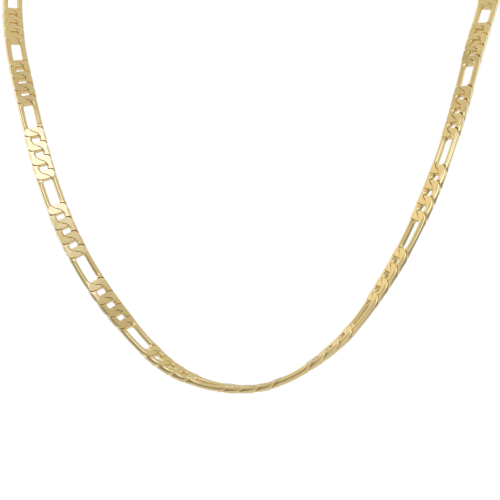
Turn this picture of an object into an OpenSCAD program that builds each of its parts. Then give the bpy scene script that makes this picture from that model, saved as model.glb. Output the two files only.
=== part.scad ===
// Figaro chain necklace, a whole closed loop in the form that it hangs in when it is worn.
// Three short curb links and a long one, over and over, run once round the neck from a soldered
// ring to a claw clasp. The links are bent from flattened wire, twisted so that they lie as a band,
// pressed thin where they cross, and ground flat on both faces.
// Millimetres, Z up, the front towards -Y. The origin is behind the neck, in the middle of the
// clasp, where the necklace hangs.

/* [Links] */
// Width of the band
link_w = 4; // [3.6:0.1:4.6]
// Width of the wire that the links are bent from
wire_w = 0.95; // [0.8:0.05:1]
// Thickness of the wire in a link's sides
wire_t = 1; // [0.8:0.05:1.1]
// Thickness that the wire is pressed to where two links cross
press_t = 0.55; // [0.45:0.05:0.7]
// Thickness of the band between its two ground faces
band_t = 1.5; // [1.4:0.05:1.8]
// Clear length inside a short link
short_in = 3.44; // [3.3:0.02:4]
// Clear length inside a long link
long_in = 8.11; // [6:0.01:10]

/* [Pattern] */
// Short links between two long ones
short_count = 3; // [2:1:5]
// Times that the pattern is repeated round the neck
repeats = 25; // [22:1:28]

/* [Clearances] */
// Slack where one link's end pulls on the next
end_gap = 0.14; // [0.14:0.02:0.3]
// Slack over and under the wire where two links cross
cross_gap = 0.7; // [0.66:0.02:0.9]
// Slack of the two rings on what they hold
ring_gap = 0.3; // [0.26:0.02:0.4]

/* [Clasp] */
// Wire of the clasp's eye
eye_wire = 0.9; // [0.7:0.05:1]
// Clear width inside the eye
eye_in = 1.8; // [1.6:0.1:2.4]
// Thickness of the claw
claw_wire = 1.3; // [1.1:0.05:1.4]
// Clear width inside the claw
claw_in = 1.9; // [1.7:0.1:2.6]
// Length of the claw's straight sides
claw_bar = 3.8; // [3.2:0.1:5]
// Thickness of the plate in the claw's near end
plate_t = 0.9; // [0.6:0.1:1.1]
// Diameter of the thumb tab on the claw
tab_d = 1.2; // [0.8:0.1:1.4]
// How far along the claw's side the thumb tab stands
tab_at = 1.2; // [0.6:0.1:2.4]
// Wire of the ring between the clasp and the chain
clasp_ring_wire = 0.8; // [0.6:0.05:0.9]
// Clear width inside that ring
clasp_ring_in = 3; // [2.8:0.1:3.6]
// Wire of the ring that the claw closes on
end_ring_wire = 0.9; // [0.7:0.05:1]
// Clear width inside that ring
end_ring_in = 3.4; // [3.2:0.1:4.2]

/* [Hidden] */
gold = "#E2C877";

// Points that the middle of the band passes through, as [x, y, z, roll]. They start behind the
// neck and go down its left side, across the front and up its right side. Roll is the turn of
// the band's face, in degrees, from facing straight away from the neck.
route = [
    [0, 0, 0, 0],
    [-16.5, -2.5, -2, 5],
    [-31.5, -9, -6.5, 15],
    [-43.5, -19, -14, 30],
    [-51, -31, -23, 45],
    [-54, -44, -33.5, 65],
    [-53.5, -57.5, -44.5, 85],
    [-50.5, -70, -55.5, 100],
    [-45.5, -82, -66, 90],
    [-39.5, -91.5, -78.5, 70],
    [-33, -98, -94, 55],
    [-25.5, -102, -108.5, 40],
    [-15.5, -104, -122, 55],
    [-2.5, -106, -133, 75],
    [14, -107.5, -135.5, 90],
    [29, -108, -127.5, 90],
    [39, -105, -114, 85],
    [46, -101.5, -99, 80],
    [50, -95, -84, 85],
    [51.5, -85, -70.5, 80],
    [52, -72, -59, 75],
    [50.5, -58.5, -49, 65],
    [49.5, -45.5, -38, 55],
    [46.5, -32.5, -27.5, 42],
    [41, -20, -17, 28],
    [31, -9.5, -8, 14],
    [16.5, -3, -2, 5]
];
// Where the upright line through the middle of the neck stands, as [x, y]
neck_line = [-1, -58];
// Short steps that the curve takes between two points of the route
span_steps = 12;

// Stations round one end of a link
bow_stations = 6;
// Share of the wire's width that is flat
flat_share = 0.6;
// Fineness of the clasp's and rings' bends, and of their round wire
hoop_round = 64;
wire_round = 32;

// A link's half width and a short link's half length, both along the middle of the wire
bow_w = (link_w - wire_w) / 2;
bow_len = (short_in + wire_w) / 2;
// Share of the bow's corner radius that the straight stretches between its stations lie at
bow_share = cos(90 / bow_stations);
// Height that the middle of the wire swings to, above and below the band's middle plane
swing = (press_t + cross_gap) / 2;
// Where the wire is at its highest, as a turn round the bow and as a reach past the straight bars
crest_turn = 45;
crest = bow_len * cos(crest_turn) / bow_share;

link_count = repeats * (short_count + 1);
half_count = floor(link_count / 2);

eye_r = (eye_in + eye_wire) / 2;
claw_r = (claw_in + claw_wire) / 2;
clasp_ring_r = (clasp_ring_in + clasp_ring_wire) / 2;
end_ring_r = (end_ring_in + end_ring_wire) / 2;
// Distance between the middles of the wires where the eye meets the claw
clasp_join = eye_wire / 3;

// Two members of the loop meet where the pull crosses from one to the other, and each reaches past
// that point. A link does so by half its wire and half the slack between links, and what the two
// rings hold or pass through by enough to keep the rings' own slack.
function reach_past(wire) = wire / 2 + ring_gap - end_gap / 2;
function ring_run(r, wire) = 2 * (r - reach_past(wire));
clasp_ring_run = ring_run(clasp_ring_r, clasp_ring_wire);
end_ring_run = ring_run(end_ring_r, end_ring_wire);
clasp_run = 2 * eye_r + clasp_join + 2 * claw_r + claw_bar - reach_past(eye_wire) - reach_past(claw_wire);

function is_long(i) = i % (short_count + 1) == 1;
function bar(i) = is_long(i) ? (long_in - short_in) / 2 : 0;
function run(i) = (is_long(i) ? long_in : short_in) - end_gap;

chain_start = clasp_run / 2 + clasp_ring_run;
// How far along the loop each link begins, and last where the chain ends
link_start = [for (i = 0, s = chain_start; i <= link_count; s = s + run(i), i = i + 1) s];
loop_len = link_start[link_count] + end_ring_run + clasp_run / 2;

// A smooth closed curve through the route's points
function around(i) = (i + len(route)) % len(route);
function blend(a, b, c, d, t) =
    (2 * b + (c - a) * t + (2 * a - 5 * b + 4 * c - d) * t * t + (3 * b - a - 3 * c + d) * t * t * t) / 2;
function curve(i, t) =
    blend(route[around(i - 1)], route[around(i)], route[around(i + 1)], route[around(i + 2)], t);
path = [for (i = [0 : len(route) - 1], k = [0 : span_steps - 1]) curve(i, k / span_steps), route[0]];
function place(p) = [p[0], p[1], p[2]];
function step_len(k) = k < len(path) - 1 ? norm(place(path[k + 1] - path[k])) : 0;
walked = [for (k = 0, s = 0; k < len(path); s = s + step_len(k), k = k + 1) s];
function column(c) = [for (k = [0 : len(path) - 1]) [walked[k], path[k][c]]];
path_x = column(0);
path_y = column(1);
path_z = column(2);
path_roll = column(3);
// The route takes the length of the chain that lies along it
fit = loop_len / walked[len(path) - 1];
function around_loop(s) = (s + loop_len) % loop_len / fit;
function at(s) =
    let (w = around_loop(s))
    fit * [lookup(w, path_x), lookup(w, path_y), lookup(w, path_z)];
function roll_at(s) = lookup(around_loop(s), path_roll);

function unit(v) = v / norm(v);
// Middle of a stretch of the band, then the directions along it, across it and out of its face
function band_frame(s, run_len) =
    let (
        from = at(s),
        to = at(s + run_len),
        mid = (from + to) / 2,
        along = unit(to - from),
        away = [mid.x, mid.y, 0] - fit * [neck_line.x, neck_line.y, 0],
        out = unit(away - (away * along) * along),
        roll = roll_at(s + run_len / 2),
        face = out * cos(roll) + cross(out, along) * sin(roll)
    )
    [mid, along, cross(face, along), face];

// Middle of the wire of link i, at a turn of a round the bow at one end: half an oval past the
// straight bar, twisted so that it rises on one side of the band and dips on the other
function wire_middle(i, end, a) =
    let (
        past = bow_len * cos(a) / bow_share,
        across = bow_w * min(1, abs(sin(a)) / bow_share) * sign(a),
        twist = past < crest ? sign(a) * sin(90 * past / crest) : sin(2 * a)
    )
    [end * (past + bar(i)), end * across, -swing * twist];
// The stations round one end of a link, each as a turn round its bow. A long link has two more,
// where its straight bars start.
function bow_turns(i) = [
    if (is_long(i)) -90,
    for (k = [0 : bow_stations - 1]) 180 * (k + 0.5) / bow_stations - 90,
    if (is_long(i)) 90
];
function wire_middles(i) = [for (end = [1, -1], a = bow_turns(i)) wire_middle(i, end, a)];
// Outline of the wire as [side, up], flat on top and below, thinner the further it swings out
function wire_outline(height) =
    let (
        thick = wire_t - (wire_t - press_t) * abs(height) / swing,
        upper = [[wire_w, 0], [wire_w * flat_share, thick], [-wire_w * flat_share, thick]] / 2
    )
    concat(upper, -upper);
wire_sides = len(wire_outline(0));
// What the grinding leaves of a point: it takes off all that stands past the band's faces
function ground(p) = [p.x, p.y, max(-band_t / 2, min(band_t / 2, p.z))];
function wire_ring(before, middle, after) =
    let (
        heading = unit(after - before),
        side = unit(cross(heading, [0, 0, 1])),
        up = cross(side, heading)
    )
    [for (p = wire_outline(middle.z)) ground(middle + p[0] * side + p[1] * up)];
function link_points(i) =
    let (f = band_frame(link_start[i], run(i)), m = wire_middles(i), n = len(m))
    [for (k = [0 : n - 1], p = wire_ring(m[(k + n - 1) % n], m[k], m[(k + 1) % n]))
        f[0] + p.x * f[1] + p.y * f[2] + p.z * f[3]];

// Two triangles for each side of the wire between two of n stations, from point number first on
function link_faces(first, n) = [
    for (k = [0 : n - 1], j = [0 : wire_sides - 1])
        let (
            k2 = (k + 1) % n,
            j2 = (j + 1) % wire_sides,
            a = first + k * wire_sides + j,
            b = first + k * wire_sides + j2,
            c = first + k2 * wire_sides + j2,
            d = first + k2 * wire_sides + j
        )
        each [[a, b, c], [a, c, d]]
];

// Links from one number up to another, each a closed ring of its own
module link_strand(from, to) {
    links = [for (i = [from : to]) link_points(i)];
    first = [for (i = 0, n = 0; i < len(links); n = n + len(links[i]), i = i + 1) n];
    polyhedron(
        points = [for (link = links) each link],
        faces = [for (i = [0 : len(links) - 1]) each link_faces(first[i], len(links[i]) / wire_sides)],
        convexity = 10
    );
}

// Round wire bent to a ring, or part of one, that stands in the XZ plane
module wire_hoop(r, wire, turn = 360) {
    rotate([90, 0, 0])
        rotate_extrude(angle = turn, $fn = hoop_round)
            translate([r, 0])
                circle(d = wire, $fn = wire_round);
}

// Puts a piece made along X, with its face towards +Z, on the band's own frame
module on_band(f) {
    multmatrix([
        [f[1].x, f[2].x, f[3].x, f[0].x],
        [f[1].y, f[2].y, f[3].y, f[0].y],
        [f[1].z, f[2].z, f[3].z, f[0].z],
        [0, 0, 0, 1]
    ])
        children();
}

// The half of the chain on the wearer's right, which the front view shows on the left
module chain_left() {
    color(gold) link_strand(0, half_count - 1);
}

// The other half, which meets the first just past the front's lowest point
module chain_right() {
    color(gold) link_strand(half_count, link_count - 1);
}

// A ring soldered shut, edge on to the band, through the first link and the clasp's eye
module clasp_ring() {
    color(gold)
        on_band(band_frame(clasp_run / 2, clasp_ring_run))
            wire_hoop(clasp_ring_r, clasp_ring_wire);
}

// A ring soldered shut, through the last link, that the claw closes on
module end_ring() {
    color(gold)
        on_band(band_frame(loop_len - clasp_run / 2 - end_ring_run, end_ring_run))
            wire_hoop(end_ring_r, end_ring_wire);
}

// A claw clasp, closed: an eye, a plate that fills the claw's near end, two sides and a tip
module clasp() {
    eye_x = eye_r - reach_past(eye_wire) - clasp_run / 2;
    tip_x = clasp_run / 2 + reach_past(claw_wire) - claw_r;
    root_x = tip_x - claw_bar;
    color(gold) {
        translate([eye_x, 0, 0]) wire_hoop(eye_r, eye_wire);
        translate([root_x, 0, 0]) rotate([0, -90, 0]) wire_hoop(claw_r, claw_wire, 180);
        translate([tip_x, 0, 0]) rotate([0, 90, 0]) wire_hoop(claw_r, claw_wire, 180);
        for (side = [-1, 1])
            translate([root_x, 0, side * claw_r])
                rotate([0, 90, 0])
                    cylinder(d = claw_wire, h = claw_bar, $fn = wire_round);
        translate([root_x, 0, 0])
            rotate([90, 0, 0])
                cylinder(r = claw_r, h = plate_t, center = true, $fn = hoop_round);
        translate([root_x + tab_at, 0, claw_r + claw_wire / 2]) sphere(d = tab_d, $fn = wire_round);
    }
}

chain_left();
chain_right();
clasp();
clasp_ring();
end_ring();
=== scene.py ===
import bmesh
import bpy
import numpy as np
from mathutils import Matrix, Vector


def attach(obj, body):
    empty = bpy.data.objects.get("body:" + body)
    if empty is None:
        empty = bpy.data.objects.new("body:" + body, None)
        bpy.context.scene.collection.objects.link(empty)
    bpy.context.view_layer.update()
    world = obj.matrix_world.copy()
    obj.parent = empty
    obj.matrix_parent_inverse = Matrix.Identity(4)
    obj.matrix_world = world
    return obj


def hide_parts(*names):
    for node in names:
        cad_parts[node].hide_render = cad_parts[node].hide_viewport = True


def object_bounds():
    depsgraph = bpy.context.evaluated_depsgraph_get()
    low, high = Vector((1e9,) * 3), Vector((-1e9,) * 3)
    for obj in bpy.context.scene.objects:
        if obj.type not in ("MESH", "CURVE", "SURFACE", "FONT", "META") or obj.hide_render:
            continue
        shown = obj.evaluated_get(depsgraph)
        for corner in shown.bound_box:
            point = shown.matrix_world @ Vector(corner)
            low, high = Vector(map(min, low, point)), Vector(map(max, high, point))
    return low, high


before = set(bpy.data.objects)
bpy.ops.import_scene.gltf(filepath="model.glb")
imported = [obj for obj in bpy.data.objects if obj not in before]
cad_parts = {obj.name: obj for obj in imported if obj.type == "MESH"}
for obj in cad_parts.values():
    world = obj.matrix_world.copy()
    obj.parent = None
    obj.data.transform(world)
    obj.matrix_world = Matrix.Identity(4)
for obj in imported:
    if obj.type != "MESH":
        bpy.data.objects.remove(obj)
cad_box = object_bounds()

# The chain is a hundred curb links of gold-plated brass wire, three short ones and then a long one.
# Each is bent to an oval through the one before, twisted so that the links lie as one flat band,
# pressed against its neighbours by the rolls and then ground on both faces and polished.
MM = 0.001
# Each IN is the clear length or width inside a link, ring, eye or claw, and each GAP is the slack
# where two of them meet.
SHORT_IN = 3.44 * MM
LONG_IN = 8.11 * MM
END_GAP = 0.14 * MM
RING_GAP = 0.3 * MM
SHORT_COUNT = 3
REPEATS = 25
# The clasp and its two rings close the loop, so their sizes set where the first and last link lie.
EYE_WIRE = 0.9 * MM
EYE_IN = 1.8 * MM
CLAW_WIRE = 1.3 * MM
CLAW_IN = 1.9 * MM
CLAW_BAR = 3.8 * MM
CLASP_RING_WIRE = 0.8 * MM
CLASP_RING_IN = 3.0 * MM
END_RING_WIRE = 0.9 * MM
END_RING_IN = 3.4 * MM

# The points that the middle of the band passes through, in millimetres, each with the turn of its
# face in degrees. Seen from the front they run from behind the neck down on the left, across and
# up again on the right.
ROUTE = np.array([
    [0, 0, 0, 0],
    [-16.5, -2.5, -2, 5],
    [-31.5, -9, -6.5, 15],
    [-43.5, -19, -14, 30],
    [-51, -31, -23, 45],
    [-54, -44, -33.5, 65],
    [-53.5, -57.5, -44.5, 85],
    [-50.5, -70, -55.5, 100],
    [-45.5, -82, -66, 90],
    [-39.5, -91.5, -78.5, 70],
    [-33, -98, -94, 55],
    [-25.5, -102, -108.5, 40],
    [-15.5, -104, -122, 55],
    [-2.5, -106, -133, 75],
    [14, -107.5, -135.5, 90],
    [29, -108, -127.5, 90],
    [39, -105, -114, 85],
    [46, -101.5, -99, 80],
    [50, -95, -84, 85],
    [51.5, -85, -70.5, 80],
    [52, -72, -59, 75],
    [50.5, -58.5, -49, 65],
    [49.5, -45.5, -38, 55],
    [46.5, -32.5, -27.5, 42],
    [41, -20, -17, 28],
    [31, -9.5, -8, 14],
    [16.5, -3, -2, 5],
])
# The upright line down the middle of the neck, which the band's face is turned away from.
NECK_LINE = np.array([-1.0, -58.0]) * MM
SPAN_STEPS = 12


def reach_past(wire):
    """What a ring or the clasp reaches past the point where the pull crosses to its neighbour: half
    the wire and the ring's slack, less half the slack between two links."""
    return wire / 2 + RING_GAP - END_GAP / 2


def ring_run(inside, wire):
    """The length of the loop that a ring takes up: its middle circle's width less what it shares."""
    return inside + wire - 2 * reach_past(wire)


CLASP_RING_RUN = ring_run(CLASP_RING_IN, CLASP_RING_WIRE)
END_RING_RUN = ring_run(END_RING_IN, END_RING_WIRE)
CLASP_JOIN = EYE_WIRE / 3
CLASP_RUN = (
    EYE_IN + EYE_WIRE + CLASP_JOIN + CLAW_IN + CLAW_WIRE + CLAW_BAR
    - reach_past(EYE_WIRE) - reach_past(CLAW_WIRE)
)
LINK_COUNT = REPEATS * (SHORT_COUNT + 1)
is_long = np.arange(LINK_COUNT) % (SHORT_COUNT + 1) == 1
link_run = np.where(is_long, LONG_IN, SHORT_IN) - END_GAP
link_start = CLASP_RUN / 2 + CLASP_RING_RUN + np.concatenate([[0], np.cumsum(link_run)])
LOOP_LEN = link_start[-1] + END_RING_RUN + CLASP_RUN / 2


def smooth_loop(points, steps):
    """A closed Catmull-Rom curve. Each span is a cubic in t from one point to the next, and its
    slope at either end is half the difference of the two neighbours there."""
    a, b, c, d = (np.roll(points, shift, axis=0)[:, None] for shift in (1, 0, -1, -2))
    t = (np.arange(steps) / steps)[None, :, None]
    bend = (2 * a - 5 * b + 4 * c - d) * t ** 2 + (3 * b - a - 3 * c + d) * t ** 3
    spans = (2 * b + (c - a) * t + bend) / 2
    return np.vstack([spans.reshape(-1, points.shape[1]), points[:1]])


path = smooth_loop(ROUTE * [MM, MM, MM, 1], SPAN_STEPS)
walked = np.concatenate([[0], np.cumsum(np.linalg.norm(np.diff(path[:, :3], axis=0), axis=1))])
# The route is stretched or shrunk by this factor, so that the links and the clasp just fill it.
FIT = LOOP_LEN / walked[-1]


def on_path(s, column):
    """One column of the path, read at a distance s round the loop."""
    return np.interp(np.mod(s, LOOP_LEN) / FIT, walked, path[:, column])


def on_loop(s):
    """The point at a distance s round the loop."""
    return FIT * np.stack([on_path(s, column) for column in range(3)], -1)


def unit(v):
    """The same directions, with a length of one."""
    return v / np.linalg.norm(v, axis=-1, keepdims=True)


def dot(a, b):
    """The dot products of two arrays of vectors."""
    return np.sum(a * b, -1, keepdims=True)


def band_axes(start, run):
    """The directions along a stretch of the band, across it and out of its face. The face points
    away from the neck, less its part along the band, and is then turned about the band."""
    begin = on_loop(start)
    end = on_loop(start + run)
    along = unit(end - begin)
    away = (begin + end) / 2 - FIT * np.append(NECK_LINE, 0)
    away[..., 2] = 0
    out = unit(away - dot(away, along) * along)
    roll = np.radians(on_path(start + run / 2, 3))[..., None]
    face = out * np.cos(roll) + np.cross(out, along) * np.sin(roll)
    return np.stack([along, np.cross(face, along), face], -2)


link_axes = band_axes(link_start[:-1], link_run)

# Seen on its face, a link lies between an elliptical hole and a squarer outside. The wire is round
# in the bars of a long link, and thicker than the finished band in the rest. A shape is the hole's
# half width, the outside's half width, and the section's thickness and squareness.
JOINT_AT = (SHORT_IN - END_GAP) / 2
HOLE_LEN = JOINT_AT - 0.25 * MM
HOLE_SQUARE = 2.0
OUT_LEN = JOINT_AT + 1.02 * MM
OUT_SQUARE = 3.0
BOW_SHAPE = np.array([0.79 * MM, 2.13 * MM, 1.6 * MM, 3.2])
SHORT_SHAPE = np.array([0.79 * MM, 2.13 * MM, 1.4 * MM, 2.0])
LONG_SHAPE = np.array([0.95 * MM, 2.05 * MM, 1.16 * MM, 2.05])
BAND_T = 1.26 * MM
MERGED_WITHIN = 0.004 * MM
BAR_STATIONS = 6
WIRE_SIDES = 24
# Most of a bow's stations stand where its bars run in under the next link: turns, and the shares of
# the stations that come before them.
BOW_STATIONS = 40
TURNS = np.radians([-90, -66, -46, 46, 66, 90])
STATION_SHARES = [0, 0.1, 0.32, 0.68, 0.9, 1]


def signed_power(value, power):
    """A power of a value's size, with the value's own sign."""
    return np.sign(value) * np.abs(value) ** power


def eased(share):
    """A share from 0 to 1, eased at both ends."""
    share = np.clip(share, 0, 1)
    return share * share * (3 - 2 * share)


def link_skin(bar):
    """A link's skin in its own frame, (stations, sides, 3). Each bow's hole and outside are half a
    superellipse, and at each station the wire's section is a superellipse between the two. A long
    link's bars are straight, bar to either side of its middle, and its shape eases to theirs. The
    second bow and bar are the first ones, turned half round."""
    turn = np.interp((np.arange(BOW_STATIONS) + 0.5) / BOW_STATIONS, STATION_SHARES, TURNS)
    hole_x = HOLE_LEN * np.cos(turn) ** (2 / HOLE_SQUARE)
    out_x = OUT_LEN * np.cos(turn) ** (2 / OUT_SQUARE)
    bars = LONG_SHAPE if bar > 0 else SHORT_SHAPE
    shape = bars + (BOW_SHAPE - bars) * eased((hole_x + out_x) / 2 / JOINT_AT)[:, None]
    hole_y = shape[:, 0] * signed_power(np.sin(turn), 2 / HOLE_SQUARE)
    out_y = shape[:, 1] * signed_power(np.sin(turn), 2 / OUT_SQUARE)
    hole = np.stack([hole_x + bar, hole_y], -1)
    outside = np.stack([out_x + bar, out_y], -1)
    if bar > 0:
        slide = bar * (1 - 2 * (np.arange(BAR_STATIONS) + 0.5) / BAR_STATIONS)
        hole = np.concatenate([hole, np.stack([slide, np.full(BAR_STATIONS, bars[0])], -1)])
        outside = np.concatenate([outside, np.stack([slide, np.full(BAR_STATIONS, bars[1])], -1)])
        shape = np.concatenate([shape, np.tile(bars, (BAR_STATIONS, 1))])
    hole = np.concatenate([hole, -hole])[:, None]
    outside = np.concatenate([outside, -outside])[:, None]
    thick, square = np.concatenate([shape, shape])[:, 2:].T[..., None]
    angle = (np.arange(WIRE_SIDES) + 0.5) / WIRE_SIDES * 2 * np.pi
    sideways = signed_power(np.cos(angle), 2 / square)[..., None]
    height = thick / 2 * signed_power(np.sin(angle), 2 / square)
    plan = (hole + outside) / 2 + sideways * (outside - hole) / 2
    return np.concatenate([plan, height[..., None]], -1)


def grid_faces(stations, sides, closed=True):
    """Quads between each station of a sheet and the next, over closed sections. Closed, the last
    station meets the first."""
    k = np.arange(stations if closed else stations - 1)[:, None]
    j = np.arange(sides)[None, :]
    k2 = (k + 1) % stations
    j2 = (j + 1) % sides
    quads = np.stack([k * sides + j, k2 * sides + j, k2 * sides + j2, k * sides + j2], -1)
    return quads.reshape(-1, 4).tolist()


def swept(name, sections, closed=True):
    """A mesh object from sections, (stations, sides, 3), with its two ends capped if not closed."""
    stations, sides = sections.shape[:2]
    faces = grid_faces(stations, sides, closed)
    if not closed:
        faces += [list(range(sides))[::-1], list(range((stations - 1) * sides, stations * sides))]
    mesh = bpy.data.meshes.new(name)
    mesh.from_pydata(sections.reshape(-1, 3), [], faces)
    built = bmesh.new()
    built.from_mesh(mesh)
    bmesh.ops.recalc_face_normals(built, faces=built.faces)
    built.to_mesh(mesh)
    built.free()
    swept_object = bpy.data.objects.new(name, mesh)
    bpy.context.scene.collection.objects.link(swept_object)
    return swept_object


def shaped_by(piece, tool, operation):
    """Adds an exact boolean of one mesh object with another."""
    change = piece.modifiers.new(tool.name, "BOOLEAN")
    change.operation = operation
    change.solver = "EXACT"
    change.use_self = True
    change.object = tool
    return piece


# Where two bows are pressed together, a helicoid parts them. It stands across the band on the
# middle line, lies flat where the wires cross and leans further towards the band's edges, and each
# link keeps to its own side of it within its neighbour's outline.
MOST_LEAN = np.radians(125)
LEANS_BY = 1.98 * MM
CONTACT_GAP = 0.03 * MM
EDGE_ROOM = 0.1 * MM
TOOL_REACH = 2.7 * MM
TWIST_STEPS = 41
OUTLINE_STEPS = 29
# The wires are round, so the seam between them opens to a groove towards both faces of the band.
# Its depth is worked out at these heights above and below the band's middle.
GROOVE = 0.16 * MM
GROOVE_ROWS = np.array([0.36, 0.46, 0.52, 0.58, 0.63, 0.7]) * MM
# The rolls drag the two faces of the band apart along its edges, so that the seams there slant.
# This is how far a point on the edge moves along the band for each unit of its height.
EDGE_SLANT = 1.0


def neighbours_room(joint_x, end):
    """What a neighbour takes from a link at one end: its outline, longer by the gap and wider by
    EDGE_ROOM, on its side of the helicoid. Across the band at y the helicoid leans by MOST_LEAN
    times y / LEANS_BY, and its normal is (cos, 0, -sin) of the lean. The link keeps half the gap
    from it. The groove adds GROOVE, times how upright the helicoid is, times the square of how far
    a point's height passes the first of GROOVE_ROWS, as a share of that row. Where the helicoid
    leans, its rows are stretched along it to keep their heights, up to TOOL_REACH. At the other end
    the outline and the helicoid are turned half round."""
    y = np.concatenate([[-TOOL_REACH], np.linspace(-LEANS_BY, LEANS_BY, TWIST_STEPS), [TOOL_REACH]])
    lean = MOST_LEAN * np.clip(y / LEANS_BY, -1, 1)
    none = np.zeros_like(y)
    normal = np.stack([np.cos(lean), none, -np.sin(lean)], -1)[:, None]
    level = np.stack([np.sin(lean), none, np.cos(lean)], -1)[:, None]
    rows = np.concatenate([-GROOVE_ROWS[::-1], GROOVE_ROWS])
    upright = np.abs(np.cos(lean))[:, None]
    past = np.maximum(np.abs(rows) / GROOVE_ROWS[0], 1) - 1
    depth = CONTACT_GAP / 2 + GROOVE * upright * past ** 2
    rows = rows / np.maximum(upright, GROOVE_ROWS[-1] / TOOL_REACH)
    back = np.full((len(y), 2), TOOL_REACH)
    depth = np.concatenate([depth, -back], axis=1)[..., None]
    rows = np.concatenate([rows, back * [1, -1]], axis=1)[..., None]
    twisted = depth * normal + rows * level
    twisted[..., 1] = y[:, None]
    turn = np.linspace(-np.pi / 2, np.pi / 2, OUTLINE_STEPS)
    edge_x = JOINT_AT - (OUT_LEN + CONTACT_GAP) * np.cos(turn) ** (2 / OUT_SQUARE)
    edge_y = (BOW_SHAPE[1] + EDGE_ROOM) * signed_power(np.sin(turn), 2 / OUT_SQUARE)
    outline = np.stack([np.append(edge_x, [TOOL_REACH] * 2),
                        np.append(edge_y, [edge_y[-1], edge_y[0]])], -1)
    prism = np.stack([np.insert(outline, 2, z, axis=1) for z in (-TOOL_REACH, TOOL_REACH)])
    turned = np.array([end, end, 1])
    shift = np.array([joint_x, 0, 0])
    room = swept("room", (prism + shift) * turned, closed=False)
    side = swept("side", (twisted + shift) * turned, closed=False)
    return shaped_by(room, side, "INTERSECT"), side


def finished_link(bar):
    """One link in its own frame, cut free of its neighbours and ground flat on both faces: its
    points, its triangles, and which of these are ground. Triangles that share all three points
    with another are dropped. The slant moves a point along the band by EDGE_SLANT times its height,
    times the cube of its place across the band as a share of the bow's half width."""
    link = swept("link", link_skin(bar))
    tools = [link]
    for end in (1, -1):
        tools += neighbours_room(JOINT_AT + bar, end)
        shaped_by(link, tools[-2], "DIFFERENCE")
    corner = np.array([[-1, -1], [1, -1], [1, 1], [-1, 1]]) * (TOOL_REACH + OUT_LEN + bar)
    slab = np.stack([np.insert(corner, 2, z, axis=1) for z in (-BAND_T / 2, BAND_T / 2)])
    tools.append(swept("slab", slab, closed=False))
    shaped_by(link, tools[-1], "INTERSECT")
    built = bmesh.new()
    built.from_object(link, bpy.context.evaluated_depsgraph_get())
    bmesh.ops.remove_doubles(built, verts=built.verts, dist=MERGED_WITHIN)
    bmesh.ops.dissolve_degenerate(built, edges=built.edges, dist=MERGED_WITHIN)
    bmesh.ops.triangulate(built, faces=built.faces)
    built.verts.index_update()
    points = np.array([vertex.co for vertex in built.verts])
    triangles = np.array([[vertex.index for vertex in face.verts] for face in built.faces])
    built.free()
    for tool in tools:
        bpy.data.objects.remove(tool)
    corners = np.sort(triangles, axis=1)
    which, times = np.unique(corners, axis=0, return_inverse=True, return_counts=True)[1:]
    triangles = triangles[times[which.ravel()] == 1]
    points[:, 0] -= EDGE_SLANT * points[:, 2] * (points[:, 1] / BOW_SHAPE[1]) ** 3
    above = np.abs(points[triangles, 2]).min(axis=1)
    return points, triangles, above > BAND_T / 2 - MERGED_WITHIN


joint_middle = on_loop(link_start)
joint_axes = link_axes[1:] + link_axes[:-1]
joint_axes = np.concatenate([link_axes[:1], unit(joint_axes), link_axes[-1:]])


def placed(points, numbers, joint_x):
    """Copies of a link on the band. Either end stands in the frame of its joint, and from one end
    to the other a point eases between the two places that this gives it."""
    first, second = (
        joint_middle[numbers + k][:, None]
        + np.einsum("pk,nkj->npj", points + [joint_x * (1 - 2 * k), 0, 0], joint_axes[numbers + k])
        for k in (0, 1)
    )
    share = np.clip((points[:, 0] / joint_x + 1) / 2, 0, 1)[:, None]
    return first + (second - first) * share


SHARP_FROM = np.radians(40)


def new_piece(name, points, faces, ground):
    """A smooth mesh object from arrays of points and triangles, riding on the one body. Edges are
    sharp where the surface turns by more than SHARP_FROM, and round the ground faces, which are
    also kept as an attribute."""
    mesh = bpy.data.meshes.new(name)
    mesh.vertices.add(len(points))
    mesh.vertices.foreach_set("co", points.astype(np.float32).ravel())
    mesh.loops.add(faces.size)
    mesh.loops.foreach_set("vertex_index", faces.astype(np.int32).ravel())
    mesh.polygons.add(len(faces))
    mesh.polygons.foreach_set("loop_start", np.arange(0, faces.size, 3, dtype=np.int32))
    mesh.polygons.foreach_set("use_smooth", np.ones(len(faces), bool))
    mesh.attributes.new("ground", "BOOLEAN", "FACE").data.foreach_set("value", ground)
    mesh.update(calc_edges=True)
    mesh.validate()
    mesh.set_sharp_from_angle(angle=SHARP_FROM)
    ground = np.empty(len(mesh.polygons), bool)
    mesh.attributes["ground"].data.foreach_get("value", ground)
    edges = np.empty(len(mesh.loops), int)
    mesh.loops.foreach_get("edge_index", edges)
    beside = np.bincount(edges[np.repeat(ground, 3)], minlength=len(mesh.edges))
    sharp = np.empty(len(mesh.edges), bool)
    mesh.attributes["sharp_edge"].data.foreach_get("value", sharp)
    mesh.attributes["sharp_edge"].data.foreach_set("value", sharp | (beside == 1))
    piece = bpy.data.objects.new(name, mesh)
    bpy.context.scene.collection.objects.link(piece)
    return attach(piece, "root")


LONG_BAR = (LONG_IN - SHORT_IN) / 2
link_kinds = [(bar, *finished_link(bar)) for bar in (0, LONG_BAR)]


def chain_half(name, first, last):
    """Links from one number up to, but not including, another, as one mesh."""
    points, faces, ground, count = [], [], [], 0
    for bar, link_points, link_faces, link_ground in link_kinds:
        numbers = np.arange(first, last)
        numbers = numbers[is_long[numbers] == (bar > 0)]
        copies = placed(link_points, numbers, JOINT_AT + bar)
        starts = count + np.arange(len(numbers)) * len(link_points)
        points.append(copies.reshape(-1, 3))
        faces.append((starts[:, None, None] + link_faces).reshape(-1, 3))
        ground.append(np.tile(link_ground, len(numbers)))
        count += len(points[-1])
    return new_piece(name, np.concatenate(points), np.concatenate(faces), np.concatenate(ground))


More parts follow.
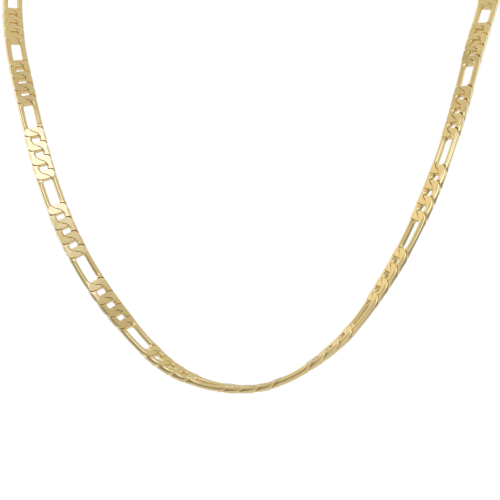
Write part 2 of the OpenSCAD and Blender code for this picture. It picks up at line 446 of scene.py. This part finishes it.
def linear(hex_colour):
    """An sRGB hex colour as linear red, green, blue and alpha."""
    c = np.array([int(hex_colour[k:k + 2], 16) for k in (1, 3, 5)]) / 255
    c = np.where(c <= 0.04045, c / 12.92, ((c + 0.055) / 1.055) ** 2.4)
    return (*c, 1.0)


def add_node(tree, kind, settings=None, **inputs):
    """Adds a node with its settings. Each input is a value, or the socket that it is linked from,
    under the socket's name, or i and its number."""
    node = tree.nodes.new(kind)
    for key, value in (settings or {}).items():
        setattr(node, key, value)
    for key, value in inputs.items():
        socket = node.inputs[int(key[1:]) if key[1:].isdigit() else key.replace("_", " ")]
        if isinstance(value, bpy.types.NodeSocket):
            tree.links.new(value, socket)
        else:
            socket.default_value = value
    return node


# The gold's colours, the roughness of its polished and its ground faces and what wear adds to it,
# and the size and depth of its patterns.
GOLD = "#F9E6AF"
GOLD_WORN = "#F3DA9D"
POLISHED = 0.09
GROUND = 0.15
WORN_ROUGHER = 0.06
WEAR_SIZE = 3.2 * MM
WEAR_DETAIL = 3.0
RIPPLE_SIZE = 0.9 * MM
RIPPLE_DEPTH = 0.004 * MM
GRAIN_SIZE = 0.22 * MM
GRAIN_DETAIL = 2.0
GRAIN_DEPTH = 0.0012 * MM


def plated_gold(name):
    """Pale yellow gold plating on brass, buffed on a soft wheel. The plating is a little redder
    where it is worn, the buffing leaves shallow ripples, and the ground faces keep a fine grain.
    Real grinding marks are some 0.02 mm wide, so the grain is drawn ten times as coarse."""
    material = bpy.data.materials.new(name)
    material.use_nodes = True
    tree = material.node_tree
    tree.nodes.clear()
    place = add_node(tree, "ShaderNodeTexCoord").outputs["Object"]
    ground = add_node(tree, "ShaderNodeAttribute", {"attribute_name": "ground"}).outputs["Fac"]
    wear = add_node(tree, "ShaderNodeTexNoise", None, Vector=place, Scale=1 / WEAR_SIZE,
                    Detail=WEAR_DETAIL)
    colour = add_node(tree, "ShaderNodeMix", {"data_type": "RGBA"}, i0=wear.outputs[0],
                      i6=linear(GOLD), i7=linear(GOLD_WORN)).outputs[2]
    grain = add_node(tree, "ShaderNodeTexNoise", None, Vector=place, Scale=1 / GRAIN_SIZE,
                     Detail=GRAIN_DETAIL)
    ripple = add_node(tree, "ShaderNodeTexNoise", None, Vector=place, Scale=1 / RIPPLE_SIZE)
    rough = add_node(tree, "ShaderNodeMapRange", None, Value=ground, To_Min=POLISHED, To_Max=GROUND)
    patchy = add_node(tree, "ShaderNodeMath", {"operation": "MULTIPLY_ADD"}, i0=wear.outputs[0],
                      i1=WORN_ROUGHER, i2=rough.outputs[0])
    marks = add_node(tree, "ShaderNodeMath", {"operation": "MULTIPLY"}, i0=grain.outputs[0], i1=ground)
    rippled = add_node(tree, "ShaderNodeBump", None, Strength=1.0, Distance=RIPPLE_DEPTH,
                       Height=ripple.outputs[0])
    grained = add_node(tree, "ShaderNodeBump", None, Strength=1.0, Distance=GRAIN_DEPTH,
                       Height=marks.outputs[0], Normal=rippled.outputs[0])
    shader = add_node(tree, "ShaderNodeBsdfPrincipled", None, Base_Color=colour, Metallic=1.0,
                      Roughness=patchy.outputs[0], Normal=grained.outputs[0])
    add_node(tree, "ShaderNodeOutputMaterial", None, Surface=shader.outputs["BSDF"])
    return material


gold = plated_gold("plated_gold")
HALF = LINK_COUNT // 2
for half_name, first_link, end_link in (("chain_left", 0, HALF), ("chain_right", HALF, LINK_COUNT)):
    half = chain_half(half_name + "_links", first_link, end_link)
    half.data.materials.append(gold)
    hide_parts(half_name)

# The claw clasp is cast and its two rings are bent from wire and soldered, all of brass and plated
# like the links. The first ring joins the clasp to the chain, and the claw closes on the second.
# Their shapes are the frame's own, and only their metal is set.
for node in ("clasp", "clasp_ring", "end_ring"):
    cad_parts[node].data.materials.clear()
    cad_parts[node].data.materials.append(gold)

# The photograph's camera stands in front and a little to the right, level with the chain's lower
# half, far enough away for nearly parallel lines. At VIEW_DISTANCE one of its pixels covers PIXEL.
VIEW_DISTANCE = 550 * MM
PIXEL = 0.1897 * MM
PHOTO_SIDE = 500
VIEW_YAW = np.radians(16)
VIEW_ROLL = np.radians(0.23)
SENSOR = 36.0
CAMERA_AT = np.array([166.0, -644.1, -108.9]) * MM
camera_data = bpy.data.cameras.new("camera")
camera_data.sensor_width = SENSOR
camera_data.lens = SENSOR * VIEW_DISTANCE / (PIXEL * PHOTO_SIDE)
camera = bpy.data.objects.new("camera", camera_data)
camera.location = CAMERA_AT
camera.rotation_euler = (np.pi / 2, VIEW_ROLL, VIEW_YAW)
bpy.context.scene.collection.objects.link(camera)
bpy.context.scene.camera = camera

# The light is that of a pale room: soft panels above and just below the camera, in front on the
# right and further back on both sides, with dimmer walls between them. What the camera sees of the
# room itself is burnt out to white.
WALL = [0.58, 0.56, 0.50]
ZENITH = [0.68, 0.65, 0.58]
NADIR = [0.52, 0.54, 0.66]
# Between these heights of a direction of length one the nadir's colour gives way to the wall's.
NADIR_UP_TO = -0.7
WALL_FROM = 0.1
# Each panel is its bearing from the camera's side, its height, the angles where it is full and
# where it has faded out, and how much more red, green and blue than the walls it gives. One that
# gives less than the walls is a darker corner.
PANELS = [
    [-16, 49, 10, 17, [0.65, 0.80, 1.40]],
    [-137, 27, 22, 45, [0.32, 0.28, 0.20]],
    [-105, 53, 11, 18, [-0.24, -0.22, -0.18]],
    [-105, 6, 10, 25, [0.65, 0.80, 1.10]],
    [42, 14, 12, 30, [0.75, 0.88, 1.10]],
    [120, 10, 10, 30, [0.40, 0.50, 0.70]],
    [8, -15, 6, 24, [0.24, 0.20, 0.16]],
    [-55, -4, 14, 32, [-0.28, -0.28, -0.26]],
    [74, -24, 12, 30, [-0.28, -0.28, -0.28]],
    [150, -30, 12, 34, [-0.22, -0.22, -0.22]],
    [30, 66, 8, 25, [-0.12, -0.12, -0.10]],
]


def bearing(azimuth, elevation):
    """A direction, from its bearing round the camera's side of the room and its height."""
    across, height = np.radians(azimuth) + VIEW_YAW, np.radians(elevation)
    return (np.sin(across) * np.cos(height), -np.cos(across) * np.cos(height), np.sin(height))


def room_colour(tree):
    """The walls' colour, which runs from the nadir to the zenith, with every panel added."""
    direction = add_node(tree, "ShaderNodeTexCoord").outputs["Generated"]
    height = add_node(tree, "ShaderNodeSeparateXYZ", None, i0=direction).outputs["Z"]
    raised = add_node(tree, "ShaderNodeMapRange", {"interpolation_type": "SMOOTHSTEP"},
                      Value=height, From_Min=NADIR_UP_TO, From_Max=WALL_FROM)
    mixing = {"data_type": "VECTOR"}
    walls = add_node(tree, "ShaderNodeMix", mixing, i0=raised.outputs[0], i4=NADIR, i5=WALL)
    total = add_node(tree, "ShaderNodeMix", mixing, i0=height, i4=walls.outputs[1], i5=ZENITH)
    total = total.outputs[1]
    for azimuth, elevation, full, faded, strength in PANELS:
        facing = add_node(tree, "ShaderNodeVectorMath", {"operation": "DOT_PRODUCT"},
                          i0=direction, i1=bearing(azimuth, elevation))
        panel = add_node(tree, "ShaderNodeMapRange", {"interpolation_type": "SMOOTHSTEP"},
                         Value=facing.outputs["Value"], From_Min=np.cos(np.radians(faded)),
                         From_Max=np.cos(np.radians(full)))
        total = add_node(tree, "ShaderNodeVectorMath", {"operation": "MULTIPLY_ADD"},
                         i0=panel.outputs[0], i1=strength, i2=total).outputs[0]
    return total


world = bpy.data.worlds.new("studio")
world.use_nodes = True
bpy.context.scene.world = world
studio = world.node_tree
studio.nodes.clear()
lit = add_node(studio, "ShaderNodeBackground", None, Color=room_colour(studio))
white = add_node(studio, "ShaderNodeBackground", None, Color=(1, 1, 1, 1))
seen = add_node(studio, "ShaderNodeLightPath").outputs["Is Camera Ray"]
mixed = add_node(studio, "ShaderNodeMixShader", None, i0=seen, i1=lit.outputs[0],
                 i2=white.outputs[0])
add_node(studio, "ShaderNodeOutputWorld", None, Surface=mixed.outputs[0])
bpy.context.scene.view_settings.view_transform = "Standard"

# The necklace hangs clear of a plain pale floor, which the photograph's level view doesn't reach.
# The floor is a matt disc, a grid of rings and spokes, that fades out into the white of the room.
FLOOR_DROP = 160 * MM
FLOOR_REACH = 450 * MM
FADE_START = 220 * MM
FLOOR_RINGS = 8
FLOOR_SPOKES = 48
FLOOR_PAINT = "#F6F5F2"
floor_level = cad_box[0][2] - FLOOR_DROP
floor_centre = (np.array(cad_box[0]) + np.array(cad_box[1])) / 2 * [1, 1, 0]
ring_reach = FLOOR_REACH * (np.arange(FLOOR_RINGS) + 1)[:, None] / FLOOR_RINGS
spoke = 2 * np.pi * np.arange(FLOOR_SPOKES)[None, :] / FLOOR_SPOKES
floor_points = np.stack([ring_reach * np.cos(spoke), ring_reach * np.sin(spoke),
                         np.full((FLOOR_RINGS, FLOOR_SPOKES), floor_level)], -1) + floor_centre
floor_mesh = bpy.data.meshes.new("floor")
floor_mesh.from_pydata(floor_points.reshape(-1, 3), [],
                       grid_faces(FLOOR_RINGS, FLOOR_SPOKES, closed=False)
                       + [list(range(FLOOR_SPOKES))])
floor = bpy.data.objects.new("floor", floor_mesh)
bpy.context.scene.collection.objects.link(floor)


def matt_floor(name):
    """Pale matt paint, which fades out between FADE_START and FLOOR_REACH from the middle."""
    material = bpy.data.materials.new(name)
    material.use_nodes = True
    tree = material.node_tree
    tree.nodes.clear()
    place = add_node(tree, "ShaderNodeTexCoord").outputs["Object"]
    reach = add_node(tree, "ShaderNodeVectorMath", {"operation": "DISTANCE"}, i0=place,
                     i1=(*floor_centre[:2], floor_level)).outputs["Value"]
    faded = add_node(tree, "ShaderNodeMapRange", {"interpolation_type": "SMOOTHSTEP"},
                     Value=reach, From_Min=FADE_START, From_Max=FLOOR_REACH)
    paint = add_node(tree, "ShaderNodeBsdfDiffuse", None, Color=linear(FLOOR_PAINT))
    clear = add_node(tree, "ShaderNodeBsdfTransparent")
    mixed = add_node(tree, "ShaderNodeMixShader", None, i0=faded.outputs[0], i1=paint.outputs[0],
                     i2=clear.outputs[0])
    add_node(tree, "ShaderNodeOutputMaterial", None, Surface=mixed.outputs[0])
    return material


floor_mesh.materials.append(matt_floor("matt_floor_paint"))
